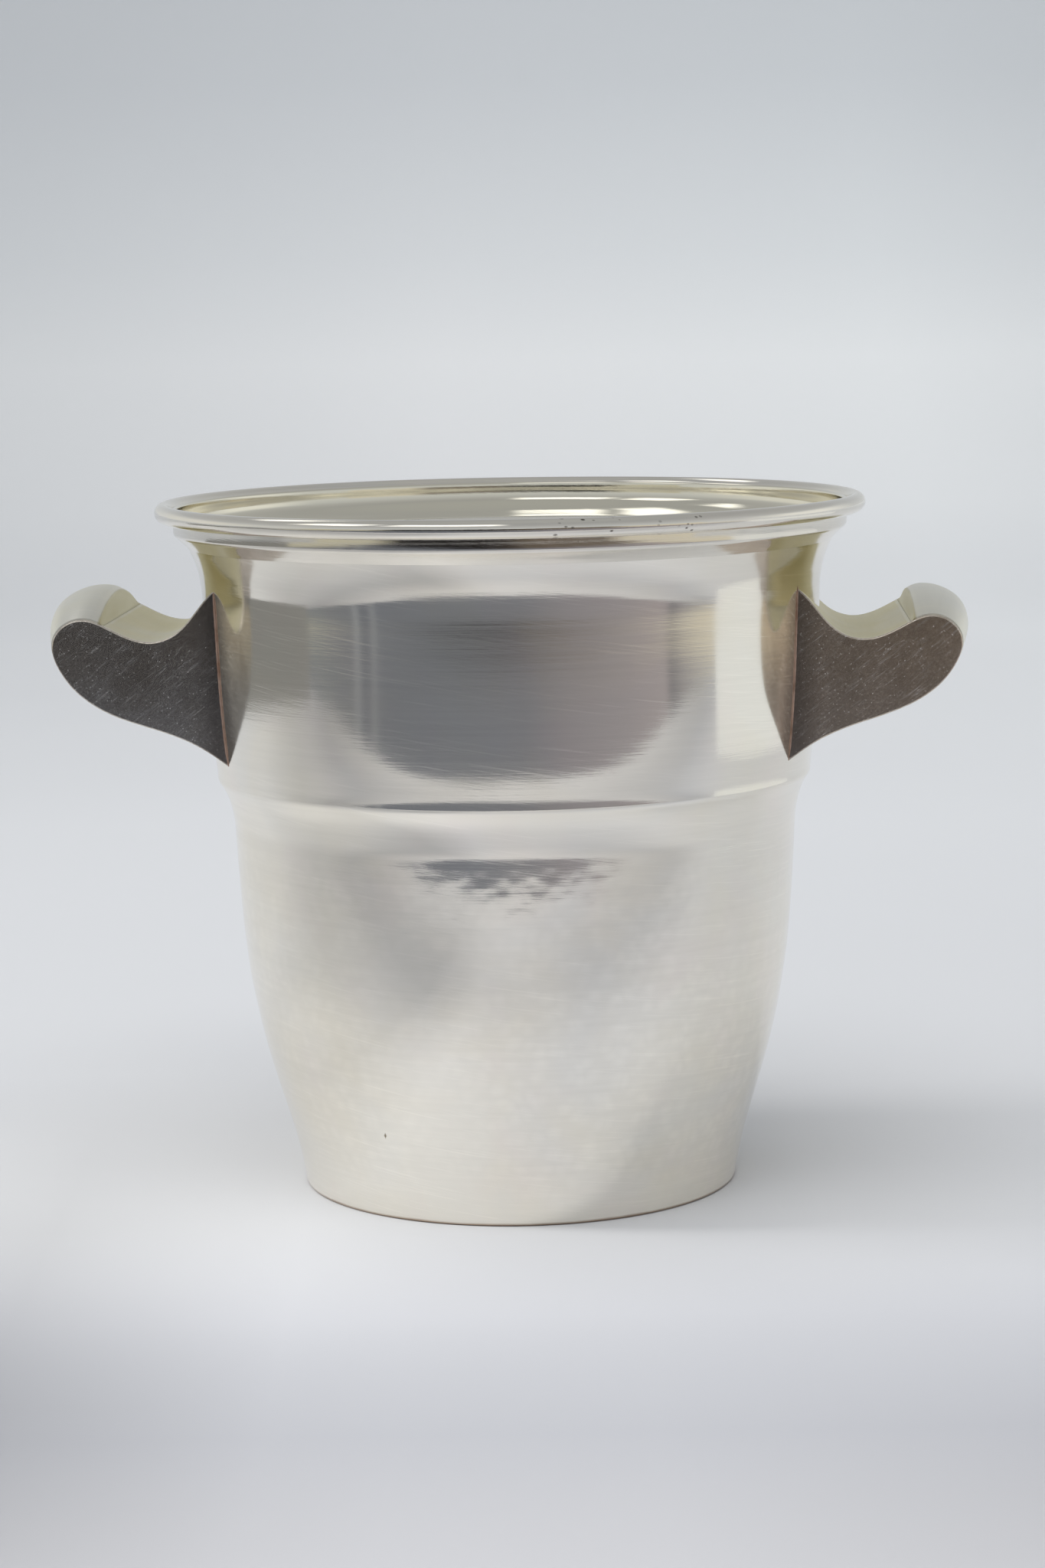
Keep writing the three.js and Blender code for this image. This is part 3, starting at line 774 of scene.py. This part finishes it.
FACE = HALF
CAP_STATIONS = np.concatenate([
    S_CAP0 + np.array([0.04, 0.15, 0.3, 0.42, 0.54, 0.66, 0.78, 0.9, 1.02, 1.14, 1.26, 1.38, 1.5, 1.65, 1.85, 2.1,
                       2.4, 2.7, 3.1, 3.5]),
    np.linspace(S_CAP0 + 4.0, S_CAP1 - 0.03, 70)])
for side, word in ((1, "right"), (-1, "left")):
    pre = word + "_handle_"
    FULLNESS = 0.82 if side > 0 else 1.0
    finish_piece(strip_mesh(pre + "thumb_strip_fine", np.linspace(0, S_CAP0 - 0.03, 90), 24, side,
                            cut_start=True), M_TROUGH, "handle_silver", pre + "thumb_strip")
    finish_piece(strip_mesh(pre + "scroll_cap_fine", CAP_STATIONS, 40, side),
                 M_STRIP, "handle_silver", pre + "scroll_cap")
    finish_piece(strip_mesh(pre + "under_strip_fine", np.linspace(S_CAP1 + 0.03, S_PATH[-1], 90), 24, side,
                            cut_end=True), M_STRIP, "handle_silver", pre + "under_strip")
    for part, sg in (("front", -1), ("rear", 1)):
        finish_piece(cheek_mesh(pre + part + "_cheek_fine", side, sg),
                     M_CHEEK, "cheek_silver", pre + part + "_cheek")
        # solder line where the cheek meets the body
        zz = np.linspace(125.9, 174.6, 80)
        y = FACE + 0.10
        pts = [(side * (math.sqrt(float(body_r(z)) ** 2 - y * y) + 0.16), sg * y, z) for z in zz]
        finish_piece(bead_along(pre + part + "_solder", pts, 0.34 if side < 0 else 0.24), M_SEAM, "handle_silver")

# ---------------------------------------------------------------- stage
YAW = math.radians(3.0)      # the bucket stands turned a little from the camera
ROT = Matrix.Rotation(YAW, 4, "Z")


def stage_mesh(name, verts, faces, mat, glossy_only=False, smooth=False):
    mesh = bpy.data.meshes.new(name)
    mesh.from_pydata(verts, [], faces)
    mesh.polygons.foreach_set("use_smooth", [smooth] * len(mesh.polygons))
    mesh.materials.append(mat)
    ob = bpy.data.objects.new(name, mesh)
    ob.matrix_world = ROT
    bpy.context.scene.collection.objects.link(ob)
    if glossy_only:
        ob.visible_camera = False; ob.visible_diffuse = False; ob.visible_shadow = False
        ob.visible_transmission = False; ob.visible_volume_scatter = False
    return ob


def paper(name, col):
    mat, nt, bsdf = nodes_of(name)
    g = Graph(nt)
    n = g.noise(g.obj, 3.0, 2.0)
    fine = g.noise(g.obj, 700.0, 2.0)
    c = g.mix(g.span(n, 0.3, 0.7, 0.0, 1.0), col, tuple(v * 0.985 for v in col))
    # painted shade: the paper darkens towards the front edge
    falloff_shade = g.ramp(g.span(g.y, -0.62, -0.06, 0.0, 1.0), [
        (0.0, (0.92, 0.90, 0.90)), (0.45, (0.97, 0.955, 0.955)), (0.58, (0.89, 0.88, 0.89)), (0.67, (0.83, 0.83, 0.855)),
        (0.84, (0.96, 0.96, 0.98)), (1.0, (1.0, 1.0, 1.0))])
    # painted shade at the front corners of the paper
    corner_shade = g.math("MULTIPLY", g.span(g.math("ABSOLUTE", g.x), 0.03, 0.13, 0.0, 0.12), g.span(g.y, -0.12, -0.29, 0.0, 1.0))
    corner_shade = g.math("MULTIPLY", corner_shade, g.span(g.y, -0.42, -0.33, 0.0, 1.0))
    falloff_shade = g.mix(corner_shade, falloff_shade, (0.0, 0.0, 0.0))
    # painted shade on the paper to the left of the bucket
    pool_shade = g.math("MULTIPLY", g.span(g.x, -0.06, -0.13, 0.0, 0.26), g.span(g.y, 0.14, -0.06, 0.0, 1.0))
    pool_shade = g.math("MULTIPLY", pool_shade, g.span(g.y, -0.40, -0.22, 0.0, 1.0))
    falloff_shade = g.mix(pool_shade, falloff_shade, (0.0, 0.0, 0.0))
    # painted shade further off to the left
    off_left_shade = g.math("MULTIPLY", g.span(g.x, -0.30, -0.55, 0.0, 0.15), g.span(g.y, 0.55, 0.15, 0.0, 1.0))
    falloff_shade = g.mix(off_left_shade, falloff_shade, (0.0, 0.0, 0.0))
    mx = nt.nodes.new("ShaderNodeMix"); mx.data_type = "RGBA"; mx.blend_type = "MULTIPLY"
    mx.inputs["Factor"].default_value = 1.0
    g.link(c, [i for i in mx.inputs if i.name == "A" and i.type == "RGBA"][0])
    g.link(falloff_shade, [i for i in mx.inputs if i.name == "B" and i.type == "RGBA"][0])
    g.link([o for o in mx.outputs if o.type == "RGBA"][0], bsdf.inputs["Base Color"])
    # painted light: the paper glows by emission, graded by height, by distance back and from left to right
    painted_glow = g.ramp(g.span(g.z, 0.0, 1.0, 0.0, 1.0), [
        (0.0, (0.255, 0.262, 0.262)), (0.02, (0.265, 0.272, 0.272)), (0.06, (0.30, 0.308, 0.305)),
        (0.18, (0.335, 0.345, 0.34)), (0.28, (0.26, 0.275, 0.275)), (0.46, (0.17, 0.185, 0.19)),
        (1.0, (0.07, 0.08, 0.085))])
    depth = g.ramp(g.span(g.y, 0.06, 1.60, 0.0, 1.0), [
        (0.0, (0, 0, 0)), (0.07, (0.08, 0.08, 0.08)), (0.20, (0.28, 0.28, 0.28)), (0.41, (0.60, 0.60, 0.60)),
        (0.65, (0.80, 0.80, 0.80)), (1.0, (1, 1, 1))])
    rad = g.math("SQRT", g.math("ADD", g.math("MULTIPLY", g.x, g.x), g.math("MULTIPLY", g.y, g.y)))
    rim = g.math("MULTIPLY", g.span(rad, 0.80, 1.60, 0.0, 0.9), g.span(g.y, 0.10, -0.30, 0.0, 1.0))
    depth = g.mix(rim, depth, (1, 1, 1))
    depth = g.mix(g.span(g.z, 0.001, 0.03, 0.0, 1.0), depth, (1, 1, 1))
    md = nt.nodes.new("ShaderNodeMix"); md.data_type = "RGBA"; md.blend_type = "MULTIPLY"
    md.inputs["Factor"].default_value = 1.0
    g.link(painted_glow, [i for i in md.inputs if i.name == "A" and i.type == "RGBA"][0])
    g.link(depth, [i for i in md.inputs if i.name == "B" and i.type == "RGBA"][0])
    painted_glow = [o for o in md.outputs if o.type == "RGBA"][0]
    side = g.ramp(g.span(g.x, -0.6, 0.6, 0.0, 1.0), [
        (0.0, (0.60, 0.60, 0.60)), (0.45, (0.98, 0.96, 0.96)), (0.8, (1.04, 1.04, 1.04)), (1.0, (0.84, 0.84, 0.84))])
    mw = nt.nodes.new("ShaderNodeMix"); mw.data_type = "RGBA"; mw.blend_type = "MULTIPLY"
    mw.inputs["Factor"].default_value = 1.0
    g.link(painted_glow, [i for i in mw.inputs if i.name == "A" and i.type == "RGBA"][0])
    g.link(side, [i for i in mw.inputs if i.name == "B" and i.type == "RGBA"][0])
    # painted light: emission beside the bucket on its shaded side, standing in for light thrown back by its wall
    painted_spill = g.math("MULTIPLY", g.math("MULTIPLY", g.span(g.x, 0.055, 0.085, 0.0, 1.0), g.span(g.x, 0.20, 0.12, 0.0, 1.0)),
                   g.math("MULTIPLY", g.span(g.y, -0.15, -0.05, 0.0, 1.0), g.span(g.y, 0.16, 0.05, 0.0, 1.0)))
    painted_spill_glow = g.mix(g.math("MULTIPLY", painted_spill, g.span(g.z, 0.004, 0.001, 0.0, 1.0)), (0.0, 0.0, 0.0), (0.028, 0.027, 0.025))
    ad = nt.nodes.new("ShaderNodeMix"); ad.data_type = "RGBA"; ad.blend_type = "ADD"
    ad.inputs["Factor"].default_value = 1.0
    g.link([o for o in mw.outputs if o.type == "RGBA"][0], [i for i in ad.inputs if i.name == "A" and i.type == "RGBA"][0])
    g.link(painted_spill_glow, [i for i in ad.inputs if i.name == "B" and i.type == "RGBA"][0])
    g.link([o for o in ad.outputs if o.type == "RGBA"][0], bsdf.inputs["Emission Color"])
    bsdf.inputs["Emission Strength"].default_value = 1.0
    bsdf.inputs["Roughness"].default_value = 0.75
    bsdf.inputs["Specular IOR Level"].default_value = 0.15
    g.link(g.bump(fine, 2e-5), bsdf.inputs["Normal"])
    return mat


def glow(name, col, strength=1.0, bands=None):
    mat = bpy.data.materials.new(name); mat.use_nodes = True
    nt = mat.node_tree; nt.nodes.clear()
    out = nt.nodes.new("ShaderNodeOutputMaterial"); em = nt.nodes.new("ShaderNodeEmission")
    em.inputs["Strength"].default_value = strength
    nt.links.new(em.outputs[0], out.inputs[0])
    if bands is None:
        em.inputs["Color"].default_value = (*col, 1)
    else:
        g = Graph(nt)
        ang = nt.nodes.new("ShaderNodeMath"); ang.operation = "ARCTAN2"
        g.link(g.x, ang.inputs[0]); g.link(g.math("MULTIPLY", g.y, -1), ang.inputs[1])
        t = g.span(ang.outputs[0], -1.6, 1.6, 0.0, 1.0)
        c = g.ramp(t, bands)
        g.link(c, em.inputs["Color"])
    try:
        mat.cycles.emission_sampling = "NONE"
    except Exception:
        pass
    return mat


def sweep_bowl():
    prof = [(0.0, 0.0), (0.35, 0.0), (0.8, 0.0), (1.3, 0.0), (1.8, 0.0)]
    for a in np.linspace(0, 90, 19)[1:]:
        prof.append((1.8 + 1.2 * math.sin(math.radians(a)), 1.2 - 1.2 * math.cos(math.radians(a))))
    prof += [(3.0, 2.0), (3.0, 3.0)]
    segs = 96
    verts = [(0, 0, 0)]
    for r, z in prof[1:]:
        for j in range(segs):
            t = 2 * math.pi * j / segs
            verts.append((r * math.cos(t), r * math.sin(t), z))
    faces = [(0, 1 + j, 1 + (j + 1) % segs) for j in range(segs)]
    for i in range(len(prof) - 2):
        for j in range(segs):
            k = (j + 1) % segs
            faces.append((1 + i * segs + j, 1 + (i + 1) * segs + j, 1 + (i + 1) * segs + k, 1 + i * segs + k))
    return verts, faces


v, f = sweep_bowl()
stage_mesh("studio_sweep", v, f, paper("paper_sweep_painted_light", (0.78, 0.785, 0.80)), smooth=True)

# The room past the front edge of the paper, seen only in reflections.
def lin(v):
    return tuple(((c / 255 + 0.055) / 1.055) ** 2.4 for c in v)


def room_glow(name):
    """Dim room by direction round the table, darker further off to the left."""
    mat = bpy.data.materials.new(name); mat.use_nodes = True
    nt = mat.node_tree; nt.nodes.clear()
    out = nt.nodes.new("ShaderNodeOutputMaterial"); em = nt.nodes.new("ShaderNodeEmission")
    em.inputs["Strength"].default_value = 1.0
    nt.links.new(em.outputs[0], out.inputs[0])
    g = Graph(nt)
    ang = g.math("ARCTAN2", g.x, g.math("MULTIPLY", g.y, -1.0))
    near = g.ramp(g.span(ang, -1.6, 1.6, 0.0, 1.0), [
        (0.00, lin((150, 154, 160))), (0.08, lin((122, 127, 132))), (0.185, lin((116, 119, 126))),
        (0.193, lin((150, 154, 160))), (0.203, lin((110, 114, 122))), (0.220, lin((108, 111, 120))),
        (0.229, lin((140, 144, 150))), (0.240, lin((112, 116, 125))), (0.40, lin((116, 120, 129))),
        (0.52, lin((120, 122, 130))), (0.60, lin((136, 134, 140))), (0.72, lin((148, 144, 149))),
        (0.80, lin((158, 152, 156))), (0.815, lin((122, 121, 126))), (0.84, lin((146, 144, 148))),
        (0.92, lin((172, 172, 174))), (1.00, lin((200, 201, 200)))])
    far = g.ramp(g.span(g.x, -0.7, 0.7, 0.0, 1.0), [
        (0.0, lin((22, 20, 20))), (0.36, lin((34, 31, 30))), (0.50, lin((62, 56, 51))),
        (0.60, lin((96, 87, 77))), (1.0, lin((112, 103, 94)))])
    col = g.mix(g.span(g.y, -1.0, -1.25, 0.0, 1.0), near, far)
    # pale walls far off to either side
    col = g.mix(g.span(g.x, 0.95, 1.15, 0.0, 1.0), col, lin((212, 206, 190)))
    col = g.mix(g.span(g.x, -1.10, -1.35, 0.0, 1.0), col, lin((190, 187, 170)))
    g.link(col, em.inputs["Color"])
    mat.cycles.emission_sampling = "NONE"
    return mat


def ground(name, inner, outer, height, mat):
    """Flat card between two rings of (azimuth from the front, distance)."""
    pt = [(d * math.sin(math.radians(a)), -d * math.cos(math.radians(a)), height) for a, d in inner + outer[::-1]]
    n = len(inner)
    fc = [(i, i + 1, 2 * n - 2 - i, 2 * n - 1 - i) for i in range(n - 1)]
    stage_mesh(name, pt, fc, mat, glossy_only=True)


room_mat = room_glow("room_dim")
EDGE = [(-77, 0.92), (-66, 0.76), (-55, 0.62), (-45, 0.53), (-36, 0.475), (-20, 0.437), (0, 0.437), (20, 0.45),
        (36, 0.50), (45, 0.57), (55, 0.70), (66, 0.86), (77, 1.0)]
ground("room_floor", EDGE, [(a, 2.2) for a, _ in EDGE], 0.0008, room_mat)
vs, fs = [], []
for i, a in enumerate(np.radians(np.linspace(-66, 62, 25))):
    for z in (0.0, 0.31):
        vs.append((1.9 * math.sin(a), -1.9 * math.cos(a), z))
    if i:
        fs.append((2 * i - 2, 2 * i, 2 * i + 1, 2 * i - 1))
stage_mesh("room_wall", vs, fs, room_mat, glossy_only=True)
# bare grey table past the left edge of the paper
side = [-77, -90, -104, -122]
ground("table_left", list(zip(side, (0.84, 0.83, 0.84, 0.92))), [(a, 2.3) for a in side], 0.0006,
       glow("table_grey", lin((130, 131, 130))))
side = [77, 90, 104, 124]
ground("table_right", list(zip(side, (0.56, 0.56, 0.60, 0.72))), [(a, 2.3) for a in side], 0.0006,
       glow("table_white", lin((226, 229, 230))))
# light walls and ceiling of the room, again only for the reflections
segs, rings = 64, 18
vs, fs = [], []
for i in range(rings + 1):
    e = math.radians(1.0 + 89.0 * i / rings)
    for j in range(segs):
        t = 2 * math.pi * j / segs
        vs.append((2.5 * math.cos(e) * math.cos(t), 2.5 * math.cos(e) * math.sin(t), 2.5 * math.sin(e)))
for i in range(rings):
    for j in range(segs):
        k = (j + 1) % segs
        fs.append((i * segs + j, (i + 1) * segs + j, (i + 1) * segs + k, i * segs + k))


def sky_glow(name):
    mat = bpy.data.materials.new(name); mat.use_nodes = True
    nt = mat.node_tree; nt.nodes.clear()
    out = nt.nodes.new("ShaderNodeOutputMaterial"); em = nt.nodes.new("ShaderNodeEmission")
    em.inputs["Strength"].default_value = 1.0
    nt.links.new(em.outputs[0], out.inputs[0])
    g = Graph(nt)
    t = g.span(g.z, 0.0, 2.5, 0.0, 1.0)
    col = g.ramp(t, [
        (0.0, lin((200, 202, 202))), (0.10, lin((204, 207, 208))), (0.35, lin((188, 191, 194))),
        (0.56, lin((176, 178, 180))), (0.80, lin((164, 166, 168))), (1.0, lin((170, 172, 172)))])
    # a soft window to the right rear and a broad one to the left
    ang = g.math("ARCTAN2", g.x, g.math("MULTIPLY", g.y, -1.0))
    right = g.math("MULTIPLY", g.span(ang, 1.35, 1.75, 0.0, 1.0), g.span(ang, 2.5, 2.1, 0.0, 1.0))
    left = g.math("MULTIPLY", g.span(ang, -1.2, -1.9, 0.0, 1.0), g.span(ang, -2.9, -2.3, 0.0, 1.0))
    low = g.span(g.z, 1.1, 0.7, 0.0, 1.0)

    def lamp(a0, a1, t0, t1, soft=0.06):
        m = g.math("MULTIPLY", g.span(ang, a0 - soft, a0 + soft, 0.0, 1.0), g.span(ang, a1 + soft, a1 - soft, 0.0, 1.0))
        m2 = g.math("MULTIPLY", g.span(t, t0 - 0.02, t0 + 0.02, 0.0, 1.0), g.span(t, t1 + 0.02, t1 - 0.02, 0.0, 1.0))
        return g.math("MULTIPLY", m, m2)

    col = g.mix(g.math("MULTIPLY", g.math("MULTIPLY", right, low), 0.8), col, lin((240, 241, 238)))
    col = g.mix(g.math("MULTIPLY", g.math("MULTIPLY", left, low), 0.6), col, lin((232, 232, 226)))
    for args in ((-0.80, -0.06, 0.66, 0.84), (-1.45, -0.98, 0.64, 0.84), (-2.7, -2.1, 0.74, 0.84)):
        col = g.mix(lamp(*args), col, (1.45, 1.46, 1.45))
    g.link(col, em.inputs["Color"])
    mat.cycles.emission_sampling = "NONE"
    return mat


stage_mesh("room_dome", vs, fs, sky_glow("room_light"), glossy_only=True, smooth=True)

world = bpy.data.worlds.new("studio"); bpy.context.scene.world = world
world.use_nodes = True
bg = world.node_tree.nodes["Background"]
bg.inputs["Color"].default_value = (0.93, 0.96, 1.0, 1)
bg.inputs["Strength"].default_value = 0.435


def area(name, loc, target, size, energy, col=(1, 1, 1), shape="RECTANGLE", size_y=None):
    L = bpy.data.lights.new(name, "AREA"); L.energy = energy; L.shape = shape; L.size = size
    L.size_y = size_y or size; L.color = col
    o = bpy.data.objects.new(name, L)
    loc = ROT @ Vector(loc)
    d = (ROT @ Vector(target)) - loc
    o.matrix_world = Matrix.Translation(loc) @ d.to_track_quat("-Z", "Y").to_matrix().to_4x4()
    o.visible_glossy = False
    bpy.context.scene.collection.objects.link(o)
    return o


area("softbox_left", (-1.20, 0.02, 0.80), (0, 0, 0.05), 0.42, 3.7, (1.0, 0.985, 0.965))
area("softbox_top", (0.02, -0.30, 1.35), (0, 0.0, 0), 1.1, 10.0, (0.99, 0.995, 1.0))

# light thrown back onto the paper by the wall of the bucket
L = bpy.data.lights.new("bounce_left", "SPOT"); L.energy = 8.2; L.color = (1.0, 0.99, 0.97)
L.spot_size = math.radians(26); L.spot_blend = 1.0; L.shadow_soft_size = 0.06
o = bpy.data.objects.new("bounce_left", L)
loc = ROT @ Vector((-0.50, -0.12, 0.60)); d = (ROT @ Vector((-0.085, -0.015, 0.0))) - loc
o.matrix_world = Matrix.Translation(loc) @ d.to_track_quat("-Z", "Y").to_matrix().to_4x4()
o.visible_glossy = False
bpy.context.scene.collection.objects.link(o)

# ---------------------------------------------------------------- camera
F_PX, DIST, HEIGHT = 4739.3, 1.0421, 0.2613
PITCH, ROLL, AIM = math.radians(7.988), math.radians(-0.988), math.radians(0.128)
sp, cp = math.sin(PITCH), math.cos(PITCH)
fwd = Vector((math.sin(AIM) * cp, math.cos(AIM) * cp, -sp))
right0 = Vector((math.cos(AIM), -math.sin(AIM), 0))
up0 = right0.cross(fwd)
right = right0 * math.cos(ROLL) + up0 * math.sin(ROLL)
up = up0 * math.cos(ROLL) - right0 * math.sin(ROLL)
m = Matrix((
    (right.x, up.x, -fwd.x, 0.0),
    (right.y, up.y, -fwd.y, -DIST),
    (right.z, up.z, -fwd.z, HEIGHT),
    (0, 0, 0, 1)))
cam_data = bpy.data.cameras.new("camera")
cam_data.sensor_fit = "VERTICAL"; cam_data.sensor_height = 36.0
cam_data.lens = F_PX / 2048 * 36.0
cam_data.clip_start = 0.01; cam_data.clip_end = 50
cam = bpy.data.objects.new("camera", cam_data)
cam.matrix_world = ROT @ m
bpy.context.scene.collection.objects.link(cam)
bpy.context.scene.camera = cam

vs_ = bpy.context.scene.view_settings
vs_.view_transform = "Standard"; vs_.look = "None"; vs_.exposure = 0.0; vs_.gamma = 1.0
